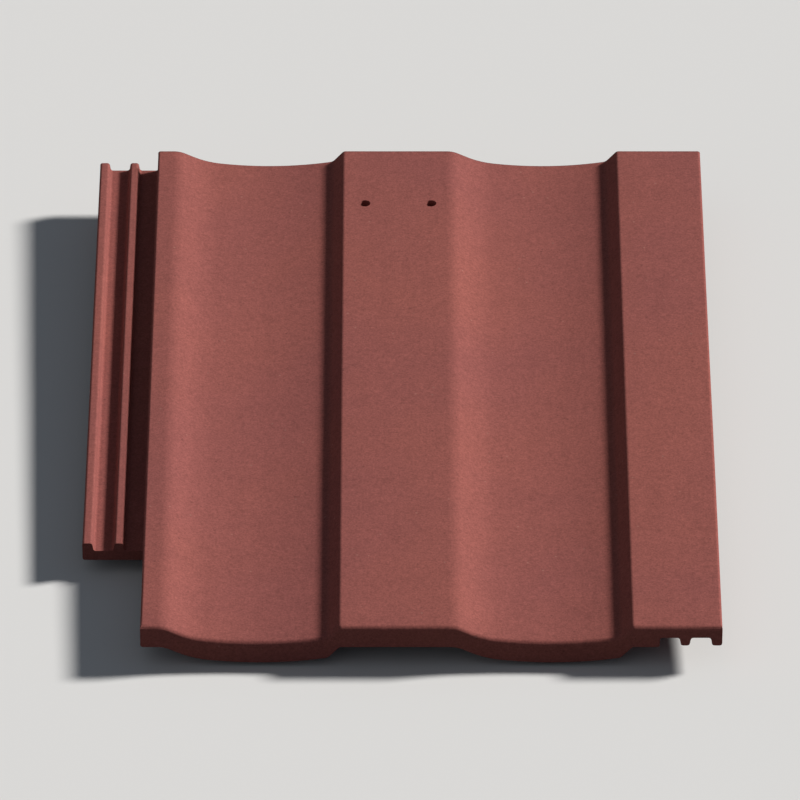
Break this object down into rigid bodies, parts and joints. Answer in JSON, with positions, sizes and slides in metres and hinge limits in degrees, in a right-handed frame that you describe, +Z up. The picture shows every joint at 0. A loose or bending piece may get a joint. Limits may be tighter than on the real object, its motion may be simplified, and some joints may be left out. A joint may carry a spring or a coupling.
{
  "type": "clay roof tile",
  "caption": "Interlocking clay roof tile with flat-topped rolls, shallow pans, side locks, hanging nibs and nail holes, laid in lapped courses on battens.",
  "frame": {"origin": "centre of the tile's box, on the floor that it lies on", "axes": "+X across the roof, from the underlock to the overlock; +Y up the slope, from tail to head; +Z up"},
  "size_m": [0.33, 0.4204, 0.0379],
  "materials": {
    "clay": "matt unglazed terracotta with a fine sandy grain"
  },
  "bodies": {
    "root": {"roof_tile": "clay"}
  },
  "joints": []
}
